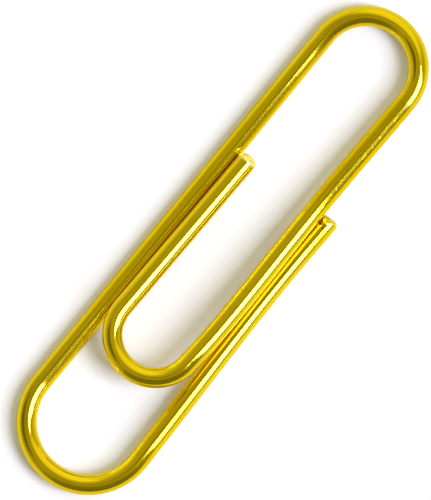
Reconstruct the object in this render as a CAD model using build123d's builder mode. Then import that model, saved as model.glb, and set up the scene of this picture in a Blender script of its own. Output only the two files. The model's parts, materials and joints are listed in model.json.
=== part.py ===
from build123d import *

import os
from math import atan2, cos, degrees, radians, sin, sqrt, tan

# A double-loop paper clip, bent from one round wire, as it lies on a table. Sizes are in millimetres.
# +X runs along the clip to its top bend, +Z is up, and the origin is on the table under the clip's middle.
# From tip to tip the wire is: outer tail, outer bend, back leg, top bend, front leg, inner bend, inner tail.
# The three bends are the clip's springs. Each one is divided at its apex: there the wire's own axis lies
# across the clip, so the bend's two halves twist on each other and the wire stays whole at every opening.

# The wire, over its lacquer
wire_diameter = 1.03
outer_tip_round = 0.2
inner_tip_round = 0.35

# Radius of the top bend, to the middle of the wire
top_bend_radius = 2.62

# Between the middles of wires that lie side by side: the outer tail outside the front leg, the inner tail
# inside the back leg
outer_tail_spacing = 1.02
inner_tail_spacing = 0.94

# Straight lengths between the bends, and from the last bend to each tip
back_leg_length = 22.45
front_leg_length = 17.0
outer_tail_length = 15.45
inner_tail_length = 9.9

# How far each straight length turns from the back leg's direction, in degrees
outer_tail_toe_in = 1.1
front_leg_toe_in = 0.4
inner_tail_toe_out = 0.9

# Gap between wires that lie against each other
rest_gap = 0.03

# Each of the other bends brings its tail round to the leg beside which the tail lies
outer_bend_radius = top_bend_radius + outer_tail_spacing / 2
inner_bend_radius = top_bend_radius - inner_tail_spacing / 2

# The wire drawn flat from the top bend's apex, one way round the outer loop and the other round the inner loop
quarter_turn = 90
with BuildLine():
    top_bend_back_line = JernArc((0, 0), (0, 1), top_bend_radius, quarter_turn)
    back_leg_line = PolarLine(top_bend_back_line @ 1, back_leg_length, direction=top_bend_back_line % 1)
    outer_bend_back_line = JernArc(back_leg_line @ 1, back_leg_line % 1, outer_bend_radius, quarter_turn)
    outer_apex = outer_bend_back_line @ 1
    outer_bend_tail_line = JernArc(
        outer_apex, outer_bend_back_line % 1, outer_bend_radius, quarter_turn + outer_tail_toe_in
    )
    outer_tail_line = PolarLine(outer_bend_tail_line @ 1, outer_tail_length, direction=outer_bend_tail_line % 1)
with BuildLine():
    top_bend_front_line = JernArc((0, 0), (0, -1), top_bend_radius, -quarter_turn - front_leg_toe_in)
    front_leg_line = PolarLine(top_bend_front_line @ 1, front_leg_length, direction=top_bend_front_line % 1)
    inner_bend_front_line = JernArc(
        front_leg_line @ 1, front_leg_line % 1, inner_bend_radius, front_leg_toe_in - quarter_turn
    )
    inner_apex = inner_bend_front_line @ 1
    inner_bend_tail_line = JernArc(
        inner_apex, inner_bend_front_line % 1, inner_bend_radius, -quarter_turn - inner_tail_toe_out
    )
    inner_tail_line = PolarLine(inner_bend_tail_line @ 1, inner_tail_length, direction=inner_bend_tail_line % 1)

# The inner loop is wider than the space inside the outer loop, so it lies on top of it.
# These stations along a tail find where the two wires come closest.
station_shares = (0, 0.2, 0.4, 0.6, 0.8, 1)


def height_to_clear(point, line):
    """How much higher one wire must pass than the wire along a line, over a point of the plan."""
    return sqrt(max(0, (wire_diameter + rest_gap) ** 2 - line.distance_to(point) ** 2))


# The inner loop is sprung up about the top bend's apex, until its tail lies on the back leg
inner_tail_stations = [inner_tail_line @ share for share in station_shares]
inner_lift = max(
    degrees(atan2(height_to_clear(point, back_leg_line), -point.X)) for point in inner_tail_stations
)

# The outer tail is sprung down about the outer bend's apex, until it passes under the front leg
outer_tail_stations = [outer_tail_line @ share for share in station_shares]
outer_tail_drop = max(
    degrees(
        atan2(
            max(0, height_to_clear(point, front_leg_line) + point.X * tan(radians(inner_lift))),
            point.X - outer_apex.X,
        )
    )
    for point in outer_tail_stations
)

# The clip rests on its back leg and on the outer tail's tip, so it leans by the tip's drop
outer_tip = outer_tail_line @ 1
tip_drop = (outer_tip.X - outer_apex.X) * sin(radians(outer_tail_drop))
lean = atan2(tip_drop, top_bend_radius - outer_tip.Y)
top_apex_on_table = (
    (top_bend_radius + back_leg_length + outer_bend_radius) / 2,
    (outer_bend_radius - top_bend_radius) * cos(lean),
    wire_diameter / 2 + top_bend_radius * sin(lean),
)
lie = Plane(top_apex_on_table, x_dir=(1, 0, 0), z_dir=(0, sin(lean), cos(lean)))

# The axes that the bends twist about, in the flat drawing
top_twist = Axis.Y
outer_twist = Axis(outer_apex, (0, 1, 0))


def laid_outer(line):
    """A flat line of the outer loop, where it lies."""
    return lie.from_local_coords(line)


def laid_tail(line):
    """A flat line of the outer tail, sprung down, where it lies."""
    return lie.from_local_coords(line.rotate(outer_twist, outer_tail_drop))


def laid_inner(line):
    """A flat line of the inner loop, sprung up, where it lies."""
    return lie.from_local_coords(line.rotate(top_twist, inner_lift))


def run_wire(path):
    """Draw the wire's section at the start of a path and run it to the path's end."""
    with BuildSketch(Plane(path @ 0, z_dir=path % 0)) as section:
        Circle(wire_diameter / 2)
    sweep(sections=section.sketch, path=path)


def round_tip(radius):
    """Round the edge of the cut tip, which points along +X."""
    fillet(faces().sort_by(Axis.X)[-1].edges(), radius=radius)


# Outer loop, which springs up from the outer tail about the outer bend's apex
with BuildPart() as top_bend_back_half:
    run_wire(laid_outer(top_bend_back_line))

with BuildPart() as back_leg:
    run_wire(laid_outer(back_leg_line))

with BuildPart() as outer_bend_back_half:
    run_wire(laid_outer(outer_bend_back_line))

# Outer tail, which stays on the table
with BuildPart() as outer_bend_tail_half:
    run_wire(laid_tail(outer_bend_tail_line))

with BuildPart() as outer_tail:
    run_wire(laid_tail(outer_tail_line))
    round_tip(outer_tip_round)

# Inner loop, which springs up from the outer loop about the top bend's apex
with BuildPart() as top_bend_front_half:
    run_wire(laid_inner(top_bend_front_line))

with BuildPart() as front_leg:
    run_wire(laid_inner(front_leg_line))

with BuildPart() as inner_bend_front_half:
    run_wire(laid_inner(inner_bend_front_line))

# Inner tail, which springs up from the inner loop about the inner bend's apex
with BuildPart() as inner_bend_tail_half:
    run_wire(laid_inner(inner_bend_tail_line))

with BuildPart() as inner_tail:
    run_wire(laid_inner(inner_tail_line))
    round_tip(inner_tip_round)

lengths_of_wire = {
    "top_bend_back_half": top_bend_back_half,
    "back_leg": back_leg,
    "outer_bend_back_half": outer_bend_back_half,
    "outer_bend_tail_half": outer_bend_tail_half,
    "outer_tail": outer_tail,
    "top_bend_front_half": top_bend_front_half,
    "front_leg": front_leg,
    "inner_bend_front_half": inner_bend_front_half,
    "inner_bend_tail_half": inner_bend_tail_half,
    "inner_tail": inner_tail,
}
os.makedirs("parts", exist_ok=True)
for name, length_of_wire in lengths_of_wire.items():
    length_of_wire.part.label = name
    export_step(length_of_wire.part, f"parts/{name}.step")
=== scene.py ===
import json
from math import atan2, ceil, cos, pi, radians, sin, tan

import bpy
import numpy as np
from bpy.props import FloatProperty, FloatVectorProperty, IntProperty, PointerProperty
from mathutils import Matrix, Vector


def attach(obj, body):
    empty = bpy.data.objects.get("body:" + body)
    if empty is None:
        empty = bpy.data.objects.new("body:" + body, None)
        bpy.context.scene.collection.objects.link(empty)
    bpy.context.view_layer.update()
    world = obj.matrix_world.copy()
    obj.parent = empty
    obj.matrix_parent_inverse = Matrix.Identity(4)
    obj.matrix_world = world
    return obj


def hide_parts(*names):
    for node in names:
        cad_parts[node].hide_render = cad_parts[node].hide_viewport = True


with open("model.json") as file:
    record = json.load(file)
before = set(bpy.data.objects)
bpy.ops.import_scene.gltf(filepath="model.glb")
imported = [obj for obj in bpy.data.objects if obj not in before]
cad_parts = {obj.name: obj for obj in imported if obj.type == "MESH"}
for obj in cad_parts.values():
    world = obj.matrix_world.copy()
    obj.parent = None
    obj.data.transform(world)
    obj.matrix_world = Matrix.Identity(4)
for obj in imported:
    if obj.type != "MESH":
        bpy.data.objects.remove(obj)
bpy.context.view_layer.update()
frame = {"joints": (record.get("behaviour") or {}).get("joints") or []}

bl_info = {
    "name": "Paper clip",
    "version": (1, 0, 0),
    "blender": (4, 5, 0),
    "location": "3D View > Sidebar > Paper clip",
    "description": "Bends a double-loop paper clip from gold-lacquered wire and lays it on a white table",
    "category": "Add Mesh",
}

MM = 0.001

# Where the wire crosses from one springing length to the next, and how far the clip leans on the table
JOINTS = {joint["name"]: joint for joint in frame["joints"]}
TOP_APEX = Vector(JOINTS["inner_loop_lift"]["pos_m"])
OUTER_APEX = Vector(JOINTS["outer_tail_flex"]["pos_m"])
INNER_APEX = Vector(JOINTS["inner_tail_flex"]["pos_m"])
ACROSS = Vector(JOINTS["inner_loop_lift"]["axis"])
LEAN = atan2(-ACROSS.z, ACROSS.y)
UPRIGHT = Vector((0, sin(LEAN), cos(LEAN)))
INNER_LIFT = atan2((INNER_APEX - TOP_APEX).dot(UPRIGHT), TOP_APEX.x - INNER_APEX.x)


def length(name, description, default):
    """A length that the user can change."""
    return FloatProperty(
        name=name,
        description=description,
        default=default,
        min=0,
        unit="LENGTH",
        subtype="DISTANCE",
        precision=6,
    )


def angle(name, description, default):
    """An angle that the user can change."""
    return FloatProperty(
        name=name, description=description, default=default, unit="ROTATION", subtype="ANGLE"
    )


def share(name, description, default):
    """A share from nothing to all that the user can change."""
    return FloatProperty(name=name, description=description, default=default, min=0, max=1, subtype="FACTOR")


def number(name, description, default):
    """A plain number that the user can change."""
    return FloatProperty(name=name, description=description, default=default, min=0)


def colour(name, description, default):
    """A colour that the user can change."""
    return FloatVectorProperty(
        name=name, description=description, default=default, size=3, min=0, subtype="COLOR"
    )


class ClipWire(bpy.types.PropertyGroup):
    wire_diameter: length("Wire diameter", "Thickness of the wire over its lacquer", 1.03 * MM)
    outer_tip_round: length("Outer tip rounding", "Radius on the edge of the outer tail's tip", 0.2 * MM)
    inner_tip_round: length("Inner tip rounding", "Radius on the edge of the inner tail's tip", 0.35 * MM)
    top_bend_radius: length("Top bend radius", "Radius of the top bend, to mid-wire", 2.62 * MM)
    outer_bend_radius: length("Outer bend radius", "Radius of the outer bend, to mid-wire", 3.13 * MM)
    inner_bend_radius: length("Inner bend radius", "Radius of the inner bend, to mid-wire", 2.15 * MM)
    back_leg: length("Back leg", "Straight length between the top and the outer bend", 22.45 * MM)
    front_leg: length("Front leg", "Straight length between the top and the inner bend", 17.0 * MM)
    outer_tail: length("Outer tail", "Straight length from the outer bend to its tip", 15.45 * MM)
    inner_tail: length("Inner tail", "Straight length from the inner bend to its tip", 9.9 * MM)
    outer_tail_toe_in: angle("Outer tail toe-in", "How far the outer tail turns inwards", radians(1.1))
    front_leg_toe_in: angle("Front leg toe-in", "How far the front leg turns inwards", radians(0.4))
    inner_tail_toe_out: angle("Inner tail toe-out", "How far that tail turns from the back leg", radians(0.9))
    outer_tail_drop: angle("Outer tail drop", "How far the outer tail springs down", radians(0.98863))
    outer_tail_bow: length("Outer tail bow", "How strongly the outer tail bows in from its bend", 0.698 * MM)
    tail_bow_return: number("Tail bow return", "How soon the outer tail bows out again", 1.1)
    front_leg_bow: length("Front leg bow", "How strongly the front leg bows in from the top bend", 1.46 * MM)
    front_bow_return: number("Front bow return", "How soon the front leg bows out again", 1.84)
    inner_lift: angle("Inner loop lift", "How far the inner loop is sprung up", INNER_LIFT)
    long_ease: length("Long ease", "How far a soft bend eases, each side of its end", 1.5 * MM)
    short_ease: length("Short ease", "How far a crisp bend eases, each side of its end", 0.6 * MM)
    split_gap: length("Split gap", "Kept free at a bend's apex, so that its halves can twist", 0.0005 * MM)
    ring_spacing: length("Ring spacing", "Distance between the mesh's rings along the wire", 0.1 * MM)
    sides: IntProperty(name="Sides", description="Faces round the wire", default=96, min=12)
    burr_height: length("Burr height", "Height of the cutter's burr at the outer tail's tip", 0.04 * MM)
    burr_width: length("Burr width", "Width of that burr", 0.1 * MM)
    nip_depth: length("Nip depth", "Depth of the cutter's dent beside the burr", 0.04 * MM)
    nip_width: length("Nip width", "Width of that dent", 0.1 * MM)


class ClipLacquer(bpy.types.PropertyGroup):
    lemon: colour("Lemon", "The lacquer where it is thin", (0.85, 0.68, 0.014))
    amber: colour("Amber", "The lacquer where it is thick", (0.82, 0.61, 0.01))
    grazing: colour("Grazing", "The lacquer seen along the surface", (0.88, 0.68, 0.03))
    die_line: colour("Die line", "The lacquer in the lines that the die leaves", (0.5, 0.4, 0.002))
    cut_end: colour("Cut end", "The thinly covered edge of a cut tip", (0.98, 0.9, 0.36))
    # Partly the dull cut face and partly painted shade: each tip's last rim is darkened to this colour for
    # the dark reflection there
    shaded_cut_face: colour("Cut face", "The dull face of a cut tip", (0.3, 0.24, 0.08))
    roughness: share("Roughness", "Roughness of the bright wire under the lacquer", 0.08)
    rub: share("Rub", "How much of the gloss is rubbed off the worn part of the front leg", 0.75)
    line_depth: length("Draw line depth", "Depth of the finest lines along the wire", 0.00018 * MM)
    grain_depth: length("Grain depth", "Height of the lacquer's fine grain", 0.00005 * MM)
    fleck_depth: length("Fleck depth", "Height of the flecks on the worn part of the front leg", 0.0012 * MM)
    sag: angle("Sag", "How far the front leg's worn part sags", radians(3.5))
    set_back: angle("Set", "How far the middle of the back leg is out of straight", radians(1.0))
    # Painted shade: the colour of the dark spots on the outer tail, for the dark reflections in the cutter's
    # dents
    pool: colour("Painted dark spot", "The lacquer where it stands thick in the cutter's dents", (0.22, 0.14, 0.0))


class ClipStudio(bpy.types.PropertyGroup):
    floor: colour("Table", "Colour of the table", (0.9, 0.9, 0.9))
    floor_shine: colour("Table shine", "Colour of the table where the wire mirrors it", (0.84, 0.81, 0.1))
    floor_satin: share("Table satin", "How much of the table's light is a soft sheen", 0.13)
    floor_glow: share("Table glow", "Added for the camera, so that the lit table is white", 0.08)
    sky: number("Room light", "Brightness of the room overhead", 0.41)
    window: number("Window", "Added by a window high on one side", 0.5)
    wall: number("Wall", "Added by the pale wall beside the window", 0.25)
    low_light: number("Low light", "Added near the table's edge", 0.2)
    shade: number("Shade", "Taken away on the side away from the window", 0.22)
    corner: number("Corner", "Taken away in one high corner", 0.26)
    card: number("Card", "Added by a white card low beside the softbox", 0.6)
    spill: number("Spill", "Added beside the softbox, between two wires", 1.5)
    camera_dark: number("Camera", "Taken away by the camera overhead", 0.2)
    room_tint: colour("Room tint", "Colour of the room's light", (1.06, 1.0, 0.72))
    room_shine: colour("Room shine", "Colour of the room where the wire mirrors it", (1.13, 1.0, 0.12))
    lamp: number("Lamp", "Brightness of the softbox's face", 9.5)
    lamp_tint: colour("Lamp tint", "Colour of the softbox", (0.97, 1.0, 1.28))
    lamp_distance: length("Lamp distance", "From the clip to the softbox", 3.0)
    lamp_top: angle("Lamp top edge", "Angle of the softbox's top edge from straight up", radians(20))
    lamp_foot: angle("Lamp foot edge", "Angle of the softbox's foot edge from straight up", radians(57))
    lamp_start: angle("Lamp start", "Bearing of the softbox's one side in the picture", radians(-37.2))
    lamp_end: angle("Lamp end", "Bearing of the softbox's other side in the picture", radians(4))
    camera_distance: length("Camera distance", "From the clip to the camera, straight above it", 0.9)
    clip_bearing: angle("Clip bearing", "Direction of the clip from the picture's right", radians(50.642))


class Signal:
    """An output socket of a node tree. Sums, products and so on of signals add Math nodes to the tree."""

    def __init__(self, socket):
        self.socket = socket

    def math(self, operation, *others):
        return node(self.socket.id_data, "ShaderNodeMath", {"operation": operation}, [self, *others]).out()

    def __add__(self, other):
        return self.math("ADD", other)

    def __radd__(self, other):
        return self.math("ADD", other)

    def __sub__(self, other):
        return self.math("SUBTRACT", other)

    def __rsub__(self, other):
        return self.math("MULTIPLY_ADD", -1, other)

    def __mul__(self, other):
        return self.math("MULTIPLY", other)

    def __rmul__(self, other):
        return self.math("MULTIPLY", other)

    def __truediv__(self, other):
        return self.math("DIVIDE", other)

    def __pow__(self, other):
        return self.math("POWER", other)

    def __neg__(self):
        return self.math("MULTIPLY", -1)

    def clamp(self, low=0.0, high=1.0):
        return self.math("MAXIMUM", low).math("MINIMUM", high)

    def step(self, start, end):
        """0 before start, 1 after end and smooth between them."""
        settings = {"interpolation_type": "SMOOTHSTEP"}
        sockets = {"Value": self, "From Min": start, "From Max": end}
        return node(self.socket.id_data, "ShaderNodeMapRange", settings, sockets).out()


class node:
    """One node of a tree, with its settings made first and then its sockets' values or links."""

    def __init__(self, tree, kind, settings=None, sockets=None):
        self.node = tree.nodes.new(kind)
        for name, value in (settings or {}).items():
            setattr(self.node, name, value)
        pairs = sockets.items() if isinstance(sockets, dict) else enumerate(sockets or [])
        for name, value in pairs:
            socket = self.find(self.node.inputs, name)
            if isinstance(value, Signal):
                tree.links.new(value.socket, socket)
            else:
                socket.default_value = value

    @staticmethod
    def find(sockets, name):
        if isinstance(name, int):
            return sockets[name]
        return next((s for s in sockets if s.identifier == name), None) or sockets[name]

    def out(self, name=0):
        return Signal(self.find(self.node.outputs, name))


def combine(tree, x, y, z):
    """A vector signal from three numbers or signals."""
    return node(tree, "ShaderNodeCombineXYZ", {}, [x, y, z]).out()


def vector_math(tree, operation, *values, output=0):
    """A signal from vectors."""
    return node(tree, "ShaderNodeVectorMath", {"operation": operation}, list(values)).out(output)


def mixed(tree, factor, first, second):
    """A colour signal: the first colour where the factor is 0 and the second where it is 1."""
    first, second = (c if isinstance(c, Signal) else (*c, 1) for c in (first, second))
    sockets = {"Factor_Float": factor, "A_Color": first, "B_Color": second}
    return node(tree, "ShaderNodeMix", {"data_type": "RGBA"}, sockets).out("Result_Color")


# The wire's tree: a flat grid is wrapped round a path of bend, straight leg and bend
WIRE_INPUTS = {
    "Wire Radius": "Float",
    "Tip Round": "Float",
    "Tip Bevel": "Float",
    "First Bend Radius": "Float",
    "First Bend Turn": "Float",
    "Leg Length": "Float",
    "Last Bend Radius": "Float",
    "Last Bend Turn": "Float",
    "Heading": "Float",
    "Hand": "Float",
    "Spring Angle": "Float",
    "Lean": "Float",
    "Start": "Vector",
    "Length Start": "Float",
    "Length Sense": "Float",
    "Bow": "Float",
    "Bow Return": "Float",
    "Bow Close": "Float",
    "First Gap": "Float",
    "Last Gap": "Float",
    "Burr Height": "Float",
    "Burr Width": "Float",
    "Burr From Tip": "Float",
    "Burr Turn": "Float",
    "Nip Height": "Float",
    "Nip Width": "Float",
    "Nip From Tip": "Float",
    "Nip Turn": "Float",
    "Crowding": "Float",
    "Rings": "Int",
    "Tip Rings": "Int",
    "Sides": "Int",
    "Finish": "Material",
}


# Points closer than this are one, so that the wrapped grid closes
SEAM_REACH = 2e-8


def bent_wire_tree():
    """Geometry Nodes for one springing length of the wire."""
    tree = bpy.data.node_groups.new("bent_wire", "GeometryNodeTree")
    for name, kind in WIRE_INPUTS.items():
        tree.interface.new_socket(name, in_out="INPUT", socket_type=f"NodeSocket{kind}")
    tree.interface.new_socket("Geometry", in_out="OUTPUT", socket_type="NodeSocketGeometry")
    given = node(tree, "NodeGroupInput")
    radius, tip_round, bevel = given.out("Wire Radius"), given.out("Tip Round"), given.out("Tip Bevel")
    rings, tip_rings, sides = given.out("Rings"), given.out("Tip Rings"), given.out("Sides")
    hand = given.out("Hand")

    # The grid's rows become rings: a closing face, the wire, the tip's rounding and the tip's face
    grid = node(
        tree,
        "GeometryNodeMeshGrid",
        {},
        {"Size X": 1.0, "Size Y": 1.0, "Vertices X": rings + tip_rings + 3, "Vertices Y": sides + 1},
    )
    flat = node(tree, "ShaderNodeSeparateXYZ", {}, [node(tree, "GeometryNodeInputPosition").out()])
    row = ((flat.out("X") + 0.5) * (rings + tip_rings + 2)).math("ROUND")
    first_face = row.clamp()
    on_wire = 1 - (1 - ((row - 1) / rings).clamp()) ** given.out("Crowding")
    on_tip = ((row - 1 - rings) / tip_rings).clamp()
    last_face = (row - 1 - rings - tip_rings).clamp()
    turned = on_tip * (pi / 2)
    drawn_in = (1 - turned.math("COSINE")) * (1 - bevel) + on_tip * bevel
    run_out = turned.math("SINE") * (1 - bevel) + on_tip * bevel

    first_radius, last_radius = given.out("First Bend Radius"), given.out("Last Bend Radius")
    leg = given.out("Leg Length")
    first_arc = given.out("First Bend Turn") * first_radius
    last_arc = given.out("Last Bend Turn") * last_radius
    whole = first_arc + leg + last_arc
    first_gap = given.out("First Gap")
    run = whole - tip_round - first_gap - given.out("Last Gap")
    along = first_gap + on_wire * run + tip_round * run_out
    ring_radius = radius * first_face - tip_round * drawn_in - (radius - tip_round) * last_face

    # The cutter's marks beside the tip
    turn = (flat.out("Y") + 0.5) * (2 * pi) - pi / 2

    def mark(name):
        """How far one of the marks swells the wire, or dents it where its height is below 0."""
        off_along = (whole - along - given.out(f"{name} From Tip")) / given.out(f"{name} Width")
        off_round = (turn - given.out(f"{name} Turn")) * radius / given.out(f"{name} Width")
        swell = (-(off_along * off_along + off_round * off_round)).math("EXPONENT")
        return swell * given.out(f"{name} Height")

    ring_radius = ring_radius + mark("Burr") + mark("Nip")
    side = turn.math("COSINE") * ring_radius
    rise = turn.math("SINE") * ring_radius

    # The path, as the bends' and the leg's shares of the way
    start_heading = given.out("Heading")
    leg_heading = start_heading + hand * along.math("MINIMUM", first_arc) / first_radius
    heading = leg_heading + hand * (along - first_arc - leg).math("MAXIMUM", 0.0) / last_radius
    on_leg = (along - first_arc).clamp(0.0, leg)
    sines = [h.math("SINE") for h in (start_heading, leg_heading, heading)]
    cosines = [h.math("COSINE") for h in (start_heading, leg_heading, heading)]
    path_x = hand * (first_radius * (sines[1] - sines[0]) + last_radius * (sines[2] - sines[1]))
    path_y = hand * (first_radius * (cosines[0] - cosines[1]) + last_radius * (cosines[1] - cosines[2]))
    path_x = path_x + cosines[1] * on_leg
    path_y = path_y + sines[1] * on_leg

    # A leg may bow inwards and out again, and may come back to its line at its end
    leg_share = on_leg / leg
    bow = given.out("Bow") * leg_share * leg_share * (1 - leg_share * given.out("Bow Return"))
    bow = bow * (1 - leg_share * given.out("Bow Close"))
    aside = (side + bow) * hand
    place = combine(tree, path_x - sines[2] * aside, path_y + cosines[2] * aside, rise)

    drawn = combine(tree, side, rise, given.out("Length Start") + given.out("Length Sense") * along)
    wire = node(
        tree,
        "GeometryNodeStoreNamedAttribute",
        {"data_type": "FLOAT_VECTOR", "domain": "POINT"},
        {"Geometry": grid.out("Mesh"), "Name": "drawn_wire", "Value": drawn},
    ).out()
    wire = node(tree, "GeometryNodeSetPosition", {}, {"Geometry": wire, "Position": place}).out()
    wire = node(tree, "GeometryNodeFlipFaces", {}, {"Mesh": wire, "Selection": hand}).out()
    wire = node(tree, "GeometryNodeMergeByDistance", {}, {"Geometry": wire, "Distance": SEAM_REACH}).out()
    sprung = combine(tree, 0.0, given.out("Spring Angle"), 0.0)
    wire = node(tree, "GeometryNodeTransform", {}, {"Geometry": wire, "Rotation": sprung}).out()
    leaning = combine(tree, -given.out("Lean"), 0.0, 0.0)
    sockets = {"Geometry": wire, "Translation": given.out("Start"), "Rotation": leaning}
    wire = node(tree, "GeometryNodeTransform", {}, sockets).out()
    wire = node(tree, "GeometryNodeSetShadeSmooth", {}, {"Geometry": wire}).out()
    wire = node(tree, "GeometryNodeRealizeInstances", {}, {"Geometry": wire}).out()
    sockets = {"Geometry": wire, "Material": given.out("Finish")}
    wire = node(tree, "GeometryNodeSetMaterial", {}, sockets).out()
    node(tree, "NodeGroupOutput", {}, {"Geometry": wire})
    return tree


# Dark spots of painted shade on the outer tail, for the dark reflections in the cutter's dents: millimetres
# from its tip, to its inner side, and across
PAINTED_DARK_SPOTS = ((0.54, 0.22, 0.1), (0.63, 0.0, 0.06), (0.3, 0.05, 0.05), (0.22, -0.1, 0.05))


def lacquered_wire(wire, lacquer):
    """Bright drawn wire under a gold-yellow gloss lacquer, with a pattern that runs on from tip to tip."""
    made = bpy.data.materials.get("lacquered_wire")
    if made:
        return made
    made = bpy.data.materials.new("lacquered_wire")
    made.use_nodes = True
    tree = made.node_tree
    tree.nodes.clear()
    settings = {"attribute_type": "GEOMETRY", "attribute_name": "drawn_wire"}
    drawn = node(tree, "ShaderNodeAttribute", settings).out("Vector")
    millimetres = vector_math(tree, "MULTIPLY", drawn, (1 / MM,) * 3)
    parted = node(tree, "ShaderNodeSeparateXYZ", {}, [millimetres])
    side, along = parted.out("X"), parted.out("Z")

    def noise(scale, detail=2.0, roughness=0.5):
        """Smooth noise, with its waves to the millimetre across the wire, up and along it."""
        place = vector_math(tree, "MULTIPLY", millimetres, scale)
        sockets = {"Vector": place, "Scale": 1.0, "Detail": detail, "Roughness": roughness}
        return node(tree, "ShaderNodeTexNoise", {}, sockets).out("Fac")

    def stretch(place, rise, fall):
        """1 on one stretch of the wire, from a soft rise to a soft fall, and 0 elsewhere."""
        return place.step(*rise) * (1 - place.step(*fall))

    def slope(start, ease, run):
        """Height along the wire that starts to grow softly, then grows evenly over a run and then stays."""
        begun = (along - start).clamp(0, ease)
        return begun * begun / (2 * ease) + (along - (start + ease)).clamp(0, run)

    def pool(from_tip, aside, width):
        """1 in the middle of a round spot of painted shade on the outer tail, fading outwards."""
        off_along, off_side = (from_outer_tip - from_tip) / width, (side - aside) / width
        return (-(off_along * off_along + off_side * off_side)).math("EXPONENT")

    # Places along the wire are in millimetres, from the top bend's apex or from a tip
    front_leg = -wire.top_bend_radius * (pi / 2 + wire.front_leg_toe_in) / MM
    spans = wire_spans(wire)
    from_outer_tip = spans["outer_tail"][1] / MM - along
    from_inner_tip = along - spans["inner_tail"][1] / MM

    lines = noise((16, 16, 0.7), detail=3.0)
    grain = noise((9, 9, 7), detail=1.0)
    drift = noise((0.5, 0.5, 0.22), detail=1.0)
    flecks = noise((8, 8, 3.5), roughness=0.7).step(0.58, 0.7)
    die_lines = noise((13, 13, 0.16)).step(0.5, 0.72)

    # The front leg is rubbed from the top bend on, and the back leg's middle and the outer tail are duller
    rubbed = stretch(along, (front_leg - 8.0, front_leg - 6.4), (front_leg - 0.6, front_leg + 0.4))
    worn = rubbed * (0.45 + 0.55 * flecks) * lacquer.rub
    handled = stretch(along, (5.0, 9.0), (21.0, 25.0))
    dull_tip = stretch(from_outer_tip, (0.45, 0.8), (1.2, 2.8))
    dull_tail = stretch(from_outer_tip, (9.0, 12.5), (15.0, 17.0))

    # The cut tips are thinly covered and their faces are dull, with painted shade darkening each tip's last
    # rim; dark spots of painted shade stand for the dark reflections in the cutter's dents
    bare_inner = 1 - from_inner_tip.step(0.33, 0.42)
    bare_outer = (1 - from_outer_tip.step(0.14, 0.24)) * 0.3
    bare = bare_inner.math("MAXIMUM", bare_outer)
    cut = 1 - from_outer_tip.math("MINIMUM", from_inner_tip).step(0.0, 0.06)
    painted_dark_spots = sum(pool(*place) for place in PAINTED_DARK_SPOTS).clamp()

    tone = (drift * 1.3 - 0.25 + (lines - 0.5) * 0.5).clamp()
    paint = mixed(tree, tone, lacquer.lemon, lacquer.amber)
    covers = (
        (die_lines, 0.6, lacquer.die_line),
        (bare, 0.9, lacquer.cut_end),
        # Partly the dull cut faces and partly painted shade on each tip's last rim
        (cut, 0.7, lacquer.shaded_cut_face),
        # Painted shade: dark spots for the dark reflections in the cutter's dents
        (painted_dark_spots, 0.85, lacquer.pool),
    )
    for place, cover, shade in covers:
        paint = mixed(tree, place * cover, paint, shade)

    lost_gloss = (
        (rubbed, 0.95),
        (handled, 0.95),
        (cut, 0.4),
        (painted_dark_spots, 0.5),
        (dull_tip, 0.85),
        (dull_tail, 0.5),
    )
    coat = 1
    for place, lost in lost_gloss:
        coat = coat - place * lost

    roughness = lacquer.roughness + (lines - 0.5) * 0.06 + worn * 0.12 + cut * 0.12
    fine = lines * lacquer.line_depth + grain * lacquer.grain_depth + flecks * worn * lacquer.fleck_depth
    sag = slope(front_leg - 7.7, ease=1.8, run=5.8) * tan(lacquer.sag)
    set_back = slope(4.5, ease=7.0, run=10.0) * tan(lacquer.set_back)
    sockets = {"Strength": 1.0, "Distance": MM, "Height": fine / MM + sag - set_back}
    shader = node(
        tree,
        "ShaderNodeBsdfPrincipled",
        {},
        {
            "Base Color": paint,
            "Metallic": 1 - bare * 0.45,
            "Roughness": roughness,
            "Normal": node(tree, "ShaderNodeBump", {}, sockets).out(),
            "Specular Tint": (*lacquer.grazing, 1),
            "Coat Weight": coat,
            "Coat Roughness": 0.06,
            "Coat IOR": 1.5,
        },
    )
    node(tree, "ShaderNodeOutputMaterial", {}, {"Surface": shader.out()})
    return made


def wire_spans(wire):
    """Where each springing length starts and ends along the whole wire, from the top bend's apex."""
    half = pi / 2
    outer_loop = half * wire.top_bend_radius + wire.back_leg + half * wire.outer_bend_radius
    outer_tail = (half + wire.outer_tail_toe_in) * wire.outer_bend_radius + wire.outer_tail
    inner_loop = (half + wire.front_leg_toe_in) * wire.top_bend_radius + wire.front_leg
    inner_loop += (half - wire.front_leg_toe_in) * wire.inner_bend_radius
    inner_tail = (half + wire.inner_tail_toe_out) * wire.inner_bend_radius + wire.inner_tail
    return {
        "outer_loop": (0.0, outer_loop),
        "outer_tail": (outer_loop, outer_loop + outer_tail),
        "inner_loop": (0.0, -inner_loop),
        "inner_tail": (-inner_loop, -inner_loop - inner_tail),
    }


def read_vectors(items, name):
    """The vectors of a mesh's points or corners, one to a row."""
    rows = np.empty((len(items), 3), np.float32)
    items.foreach_get(name, rows.ravel())
    return rows


# Edges sharper than this stay sharp, and a split end's middle is found within this distance
SHARP_ANGLE = radians(60)
END_REACH = 0.01 * MM


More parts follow.
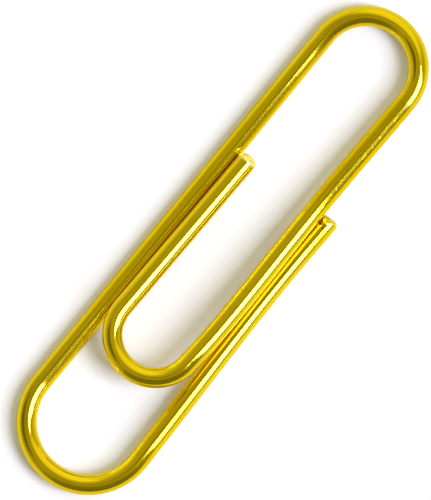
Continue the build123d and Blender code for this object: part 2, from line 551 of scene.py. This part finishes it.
def smooth_split_ends(mesh, ends):
    """Shade the wire straight through its split ends, where the next springing length goes on from it."""
    mesh.set_sharp_from_angle(angle=SHARP_ANGLE)
    place = read_vectors(mesh.vertices, "co")
    normals = read_vectors(mesh.corner_normals, "vector")
    for end in ends:
        distance = np.linalg.norm(place - np.array(end, np.float32), axis=1)
        middle = int(distance.argmin())
        if distance[middle] > END_REACH:
            raise RuntimeError(f"{mesh.name} has no closed end at {tuple(end)}")
        closing = [face for face in mesh.polygons if middle in face.vertices]
        ring = {vertex for face in closing for vertex in face.vertices} - {middle}
        for face in mesh.polygons:
            if middle in face.vertices:
                continue
            for loop, vertex in zip(face.loop_indices, face.vertices):
                if vertex in ring:
                    normals[loop] = (place[vertex] - place[middle]) / distance[vertex]
    mesh.normals_split_custom_set(normals.tolist())


def ease_bends(mesh, start, changes, bow_turn, upright):
    """Shade each bend as one that eases into its leg, and a bowed leg as a straight one."""
    along = np.abs(read_vectors(mesh.attributes["drawn_wire"].data, "vector")[:, 2] - start)
    turned = np.zeros(len(along), np.float32)
    for place, change, ease in changes:
        reach = np.maximum(ease - np.abs(along - place), 0)
        turned += change * reach**2 / (4 * ease)
    turned -= bow_turn(along)
    vertices = np.empty(len(mesh.loops), np.int32)
    mesh.loops.foreach_get("vertex_index", vertices)
    normals = read_vectors(mesh.corner_normals, "vector")
    turned = turned[vertices][:, None]
    axis = np.array(upright, np.float32)
    across = np.cross(axis, normals)
    lying = normals - np.outer(normals @ axis, axis)
    normals += lying * (np.cos(turned) - 1) + across * np.sin(turned)
    mesh.normals_split_custom_set(normals.tolist())


# A tail has more rings than the rest of the wire, crowded towards its rounded tip
TAIL_RINGS = 1.3
TAIL_CROWDING = 1.7
TIP_RINGS = 10


def bend_wire(
    context,
    name,
    nodes,
    first_bend,
    leg_length,
    last_bend,
    heading,
    hand,
    ends,
    spring,
    tip=None,
    bow=(0, 0, 0),
):
    """Make one springing length of the wire, which rides on the body of its own name.

    A bend is its radius, its turn and how far it eases into the leg. A tail has no last bend, so that turn
    is 0. A bow is its strength, its return and how far it comes back to the leg's line at the leg's end.
    """
    wire, lacquer = context.scene.clip_wire, context.scene.clip_lacquer
    tree = bpy.data.node_groups.get("bent_wire") or bent_wire_tree()
    spans = wire_spans(wire)[name]
    tip = tip or {}
    bow, bow_return, bow_close = bow
    values = {
        "Wire Radius": wire.wire_diameter / 2,
        "Tip Round": tip.get("round", 0.0),
        "Tip Bevel": tip.get("bevel", 0.0),
        "First Bend Radius": first_bend[0],
        "First Bend Turn": first_bend[1],
        "Leg Length": leg_length,
        "Last Bend Radius": last_bend[0],
        "Last Bend Turn": last_bend[1],
        "Heading": heading,
        "Hand": hand,
        "Spring Angle": spring,
        "Lean": LEAN,
        "Start": ends[0],
        "Length Start": spans[0],
        "Length Sense": hand,
        "Bow": bow,
        "Bow Return": bow_return,
        "Bow Close": bow_close,
        "First Gap": wire.split_gap,
        "Last Gap": 0.0 if tip else wire.split_gap,
        "Burr Height": wire.burr_height if "burr_turn" in tip else 0.0,
        "Burr Width": wire.burr_width,
        "Burr From Tip": tip.get("burr_from_tip", 0.0),
        "Burr Turn": tip.get("burr_turn", 0.0),
        "Nip Height": -wire.nip_depth if "nip_turn" in tip else 0.0,
        "Nip Width": wire.nip_width,
        "Nip From Tip": tip.get("nip_from_tip", 0.0),
        "Nip Turn": tip.get("nip_turn", 0.0),
        "Crowding": TAIL_CROWDING if tip else 1.0,
        "Rings": ceil(abs(spans[1] - spans[0]) / wire.ring_spacing * (TAIL_RINGS if tip else 1.0)),
        "Tip Rings": TIP_RINGS if tip else 1,
        "Sides": wire.sides,
        "Finish": lacquered_wire(wire, lacquer),
    }
    piece = bpy.data.objects.new(f"{name}_wire", bpy.data.meshes.new(f"{name}_wire"))
    context.scene.collection.objects.link(piece)
    modifier = piece.modifiers.new("bent_wire", "NODES")
    modifier.node_group = tree
    for item in tree.interface.items_tree:
        if item.in_out == "INPUT":
            modifier[item.identifier] = values[item.name]
    graph = context.evaluated_depsgraph_get()
    made = piece.evaluated_get(graph)
    mesh = bpy.data.meshes.new_from_object(made, preserve_all_data_layers=True, depsgraph=graph)
    piece.modifiers.clear()
    piece.data = mesh
    mesh.name = piece.name
    if len(mesh.vertices) < wire.sides:
        raise RuntimeError(f"{name} came out without a mesh")
    smooth_split_ends(mesh, ends)

    # Where the wire's curve changes between a bend and the leg, and how far a bow turns the wire there
    first_arc, last_arc = first_bend[0] * first_bend[1], last_bend[0] * last_bend[1]
    changes = [(first_arc, -hand / first_bend[0], first_bend[2])]
    if last_arc:
        changes.append((first_arc + leg_length, hand / last_bend[0], last_bend[2]))
    upright = Matrix.Rotation(-LEAN, 3, "X") @ Matrix.Rotation(spring, 3, "Y") @ Vector((0, 0, 1))

    def bow_turn(along):
        leg_share = np.clip((along - first_arc) / leg_length, 0, 1)
        slope = 2 * leg_share - 3 * (bow_return + bow_close) * leg_share**2
        slope += 4 * bow_return * bow_close * leg_share**3
        return hand * bow * slope / leg_length

    ease_bends(mesh, spans[0], changes, bow_turn, upright)
    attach(piece, name)
    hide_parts(*nodes)
    return piece


class PAPERCLIP_OT_outer_loop(bpy.types.Operator):
    """Bend the outer loop: half of the top bend, the back leg and half of the outer bend"""

    bl_idname = "paper_clip.outer_loop"
    bl_label = "Outer loop"

    def execute(self, context):
        wire = context.scene.clip_wire
        bend_wire(
            context,
            "outer_loop",
            ("top_bend_back_half", "back_leg", "outer_bend_back_half"),
            first_bend=(wire.top_bend_radius, pi / 2, wire.long_ease),
            leg_length=wire.back_leg,
            last_bend=(wire.outer_bend_radius, pi / 2, wire.short_ease),
            heading=pi / 2,
            hand=1,
            ends=(TOP_APEX, OUTER_APEX),
            spring=0.0,
        )
        return {"FINISHED"}


class PAPERCLIP_OT_outer_tail(bpy.types.Operator):
    """Bend the outer tail: the other half of the outer bend and the tail, with its cut tip"""

    bl_idname = "paper_clip.outer_tail"
    bl_label = "Outer tail"

    def execute(self, context):
        wire = context.scene.clip_wire
        bend_wire(
            context,
            "outer_tail",
            ("outer_bend_tail_half", "outer_tail"),
            first_bend=(wire.outer_bend_radius, pi / 2 + wire.outer_tail_toe_in, wire.long_ease),
            leg_length=wire.outer_tail,
            last_bend=(wire.outer_bend_radius, 0.0, 0.0),
            heading=-pi / 2,
            hand=1,
            ends=(OUTER_APEX,),
            spring=wire.outer_tail_drop,
            tip={
                "round": wire.outer_tip_round,
                "bevel": 0.7,
                "burr_from_tip": 0.36 * MM,
                "burr_turn": radians(84),
                "nip_from_tip": 0.5 * MM,
                "nip_turn": radians(58),
            },
            bow=(wire.outer_tail_bow, wire.tail_bow_return, 0.0),
        )
        return {"FINISHED"}


class PAPERCLIP_OT_inner_loop(bpy.types.Operator):
    """Bend the inner loop: half of the top bend, the front leg and half of the inner bend"""

    bl_idname = "paper_clip.inner_loop"
    bl_label = "Inner loop"

    def execute(self, context):
        wire = context.scene.clip_wire
        bend_wire(
            context,
            "inner_loop",
            ("top_bend_front_half", "front_leg", "inner_bend_front_half"),
            first_bend=(wire.top_bend_radius, pi / 2 + wire.front_leg_toe_in, wire.short_ease),
            leg_length=wire.front_leg,
            last_bend=(wire.inner_bend_radius, pi / 2 - wire.front_leg_toe_in, wire.long_ease),
            heading=-pi / 2,
            hand=-1,
            ends=(TOP_APEX, INNER_APEX),
            spring=wire.inner_lift,
            bow=(wire.front_leg_bow, wire.front_bow_return, 1.0),
        )
        return {"FINISHED"}


class PAPERCLIP_OT_inner_tail(bpy.types.Operator):
    """Bend the inner tail: the other half of the inner bend and the tail, with its cut tip"""

    bl_idname = "paper_clip.inner_tail"
    bl_label = "Inner tail"

    def execute(self, context):
        wire = context.scene.clip_wire
        bend_wire(
            context,
            "inner_tail",
            ("inner_bend_tail_half", "inner_tail"),
            first_bend=(wire.inner_bend_radius, pi / 2 + wire.inner_tail_toe_out, wire.short_ease),
            leg_length=wire.inner_tail,
            last_bend=(wire.inner_bend_radius, 0.0, 0.0),
            heading=pi / 2,
            hand=-1,
            ends=(INNER_APEX,),
            spring=wire.inner_lift,
            tip={"round": wire.inner_tip_round, "bevel": 0.2},
        )
        return {"FINISHED"}


def picture_direction(studio, bearing, off_vertical):
    """A direction from its bearing in the picture and its angle from straight up."""
    turned = bearing - studio.clip_bearing
    return Vector((cos(turned) * sin(off_vertical), sin(turned) * sin(off_vertical), cos(off_vertical)))


WHITE = (1, 1, 1)
SATIN_ROUGHNESS = 0.6

# Metres from the clip between which the lit table turns to plain white
LIT_TABLE_EDGE = (0.03, 0.06)


def white_table(studio):
    """White for the camera and in reflections, with the clip's shadow."""
    made = bpy.data.materials.new("white_table")
    made.use_nodes = True
    tree = made.node_tree
    tree.nodes.clear()
    path = node(tree, "ShaderNodeLightPath")
    mirrored = path.out("Is Glossy Ray")
    seen = path.out("Is Camera Ray").math("MAXIMUM", mirrored)
    seen = seen.math("MAXIMUM", path.out("Is Transmission Ray"))

    # Near the clip the table is lit
    mirrored_floor = [floor * shine for floor, shine in zip(studio.floor, studio.floor_shine)]
    shade = mixed(tree, mirrored, studio.floor, mirrored_floor)
    matt = node(tree, "ShaderNodeBsdfDiffuse", {}, {"Color": shade}).out()
    sheen = node(tree, "ShaderNodeBsdfGlossy", {}, {"Color": shade, "Roughness": SATIN_ROUGHNESS}).out()
    table = node(tree, "ShaderNodeMixShader", {}, [studio.floor_satin, matt, sheen]).out()
    glow = node(tree, "ShaderNodeEmission", {}, {"Strength": seen * studio.floor_glow}).out()
    near = node(tree, "ShaderNodeAddShader", {}, [table, glow]).out()

    # Further off it is plain white
    place = node(tree, "ShaderNodeTexCoord").out("Object")
    far = vector_math(tree, "LENGTH", place, output="Value").step(*LIT_TABLE_EDGE)
    far_shade = mixed(tree, mirrored, WHITE, studio.floor_shine)
    white = node(tree, "ShaderNodeEmission", {}, {"Color": far_shade, "Strength": 1.0}).out()
    whole = node(tree, "ShaderNodeMixShader", {}, [far * seen, near, white]).out()
    node(tree, "ShaderNodeOutputMaterial", {}, {"Surface": whole})
    return made


# The room's dimmest and brightest parts, and the heights between which the low light ends
DIMMEST_ROOM = 0.12
BRIGHTEST_ROOM = 0.95
LOW_LIGHT_EDGE = (0.15, 0.5)


def room_light(studio):
    """A soft room with a window and a pale wall, a shaded side, a dim corner and a card by the softbox."""
    made = bpy.data.worlds.new("room")
    made.use_nodes = True
    tree = made.node_tree
    tree.nodes.clear()
    way = node(tree, "ShaderNodeTexCoord").out("Generated")
    up = node(tree, "ShaderNodeSeparateXYZ", {}, [way]).out("Z")

    def patch(bearing, off_vertical, full, none):
        """1 within one angle of a direction, and 0 beyond a wider one."""
        towards = picture_direction(studio, radians(bearing), radians(off_vertical))
        near = vector_math(tree, "DOT_PRODUCT", way, towards, output="Value")
        return near.step(cos(radians(none)), cos(radians(full)))

    # Bearings in the picture, angles from straight up, and how wide each patch is, in degrees
    window = patch(62, 48, 18, 38)
    wall = patch(100, 80, 22, 45)
    shade = patch(-88, 62, 25, 55)
    corner = patch(180, 40, 8, 22)
    card = patch(-32, 90, 9, 18)
    spill = patch(-41, 48, 22, 38)
    camera = patch(0, 0, 3, 7)
    low = (1 - up.step(*LOW_LIGHT_EDGE)) * (1 - shade)
    strength = studio.sky + studio.window * window + studio.wall * wall
    strength = strength + studio.low_light * low - studio.shade * shade - studio.corner * corner
    strength = strength + studio.card * card - studio.camera_dark * camera
    strength = strength.clamp(DIMMEST_ROOM, BRIGHTEST_ROOM)

    # The spill shows only where one wire mirrors another
    path = node(tree, "ShaderNodeLightPath")
    mirrored_twice = (path.out("Glossy Depth") - 1).clamp()
    strength = strength + studio.spill * spill * mirrored_twice
    tint = mixed(tree, path.out("Is Glossy Ray"), studio.room_tint, studio.room_shine)
    room = node(tree, "ShaderNodeBackground", {}, {"Color": tint, "Strength": strength}).out()
    backdrop = node(tree, "ShaderNodeBackground", {}, {"Color": (*WHITE, 1), "Strength": 1.0}).out()
    shader = node(tree, "ShaderNodeMixShader", {}, [path.out("Is Camera Ray"), room, backdrop]).out()
    node(tree, "ShaderNodeOutputWorld", {}, {"Surface": shader})
    return made


# The table's lit disc and the low rim round it, as radius and height in metres
TABLE_PROFILE = ((0.06, 0.0), (2.0, 0.0), (2.3, 0.03), (2.45, 0.15), (2.5, 0.32))
TABLE_SIDES = 96

# What the camera sees: the height of the picture at the clip, and the point in the picture's middle
PICTURE_HEIGHT = 24.976 * MM
PICTURE_MIDDLE = (-0.319 * MM, 0.57 * MM, 1.0 * MM)
SENSOR_MM = 36


class PAPERCLIP_OT_stage(bpy.types.Operator):
    """Set up the white table, the softbox, the room's light and the camera"""

    bl_idname = "paper_clip.stage"
    bl_label = "Table, light and camera"

    def execute(self, context):
        scene, studio = context.scene, context.scene.clip_studio
        scene.view_settings.view_transform = "Standard"
        scene.world = room_light(studio)

        # The table ends in a low rim, so that views along it stay white
        turns = [2 * pi * step / TABLE_SIDES for step in range(TABLE_SIDES)]
        points = [
            (radius * cos(turn), radius * sin(turn), height)
            for radius, height in TABLE_PROFILE
            for turn in turns
        ]
        faces = [tuple(range(TABLE_SIDES))]
        for ring in range(len(TABLE_PROFILE) - 1):
            near, far = ring * TABLE_SIDES, (ring + 1) * TABLE_SIDES
            for step in range(TABLE_SIDES):
                after = (step + 1) % TABLE_SIDES
                faces.append((near + step, far + step, far + after, near + after))
        mesh = bpy.data.meshes.new("table")
        mesh.from_pydata(points, [], faces)
        mesh.materials.append(white_table(studio))
        table = bpy.data.objects.new("table", mesh)
        scene.collection.objects.link(table)

        # The softbox is turned until its one side stands upright over the table
        off_vertical = (studio.lamp_top + studio.lamp_foot) / 2
        bearing = (studio.lamp_start + studio.lamp_end) / 2
        half_width = (studio.lamp_end - studio.lamp_start) / 2
        half_height = (studio.lamp_foot - studio.lamp_top) / 2
        towards = picture_direction(studio, bearing, off_vertical)
        turn = atan2(tan(half_width) * cos(off_vertical), 1)
        sideways = picture_direction(studio, bearing + pi / 2, pi / 2)
        rising = towards.cross(sideways)
        frame_x = sideways * cos(turn) - rising * sin(turn)
        frame_y = sideways * sin(turn) + rising * cos(turn)
        lamp = bpy.data.lights.new("softbox", "AREA")
        lamp.shape = "RECTANGLE"
        lamp.size = 2 * studio.lamp_distance * tan(half_width) * sin(off_vertical) * cos(turn)
        lamp.size_y = 2 * studio.lamp_distance * tan(half_height)
        lamp.energy = studio.lamp * pi * lamp.size * lamp.size_y
        lamp.color = studio.lamp_tint
        softbox = bpy.data.objects.new("softbox", lamp)
        softbox.location = towards * studio.lamp_distance
        softbox.rotation_euler = Matrix((frame_x, frame_y, towards)).transposed().to_euler()
        scene.collection.objects.link(softbox)

        lens = bpy.data.cameras.new("camera")
        lens.sensor_width = SENSOR_MM
        lens.lens = lens.sensor_width * studio.camera_distance / PICTURE_HEIGHT
        camera = bpy.data.objects.new("camera", lens)
        across, up, above = PICTURE_MIDDLE
        camera.location = (across, up, studio.camera_distance + above)
        camera.rotation_euler = (0, 0, -studio.clip_bearing)
        scene.collection.objects.link(camera)
        scene.camera = camera
        return {"FINISHED"}


class PAPERCLIP_PT_maker(bpy.types.Panel):
    bl_idname = "PAPERCLIP_PT_maker"
    bl_label = "Paper clip"
    bl_space_type = "VIEW_3D"
    bl_region_type = "UI"
    bl_category = "Paper clip"

    def draw(self, context):
        for group in (context.scene.clip_wire, context.scene.clip_lacquer, context.scene.clip_studio):
            box = self.layout.box()
            for name in group.__annotations__:
                box.prop(group, name)
        for operator in OPERATORS:
            self.layout.operator(operator.bl_idname)


OPERATORS = (
    PAPERCLIP_OT_outer_loop,
    PAPERCLIP_OT_outer_tail,
    PAPERCLIP_OT_inner_loop,
    PAPERCLIP_OT_inner_tail,
    PAPERCLIP_OT_stage,
)
GROUPS = {"clip_wire": ClipWire, "clip_lacquer": ClipLacquer, "clip_studio": ClipStudio}
CLASSES = (*GROUPS.values(), *OPERATORS, PAPERCLIP_PT_maker)


def register():
    for kind in CLASSES:
        bpy.utils.register_class(kind)
    for name, group in GROUPS.items():
        setattr(bpy.types.Scene, name, PointerProperty(type=group))


def unregister():
    for name in GROUPS:
        delattr(bpy.types.Scene, name)
    for kind in reversed(CLASSES):
        bpy.utils.unregister_class(kind)


def main():
    register()
    bpy.ops.paper_clip.outer_loop()
    bpy.ops.paper_clip.outer_tail()
    bpy.ops.paper_clip.inner_loop()
    bpy.ops.paper_clip.inner_tail()
    bpy.ops.paper_clip.stage()


if __name__ == "__main__":
    main()
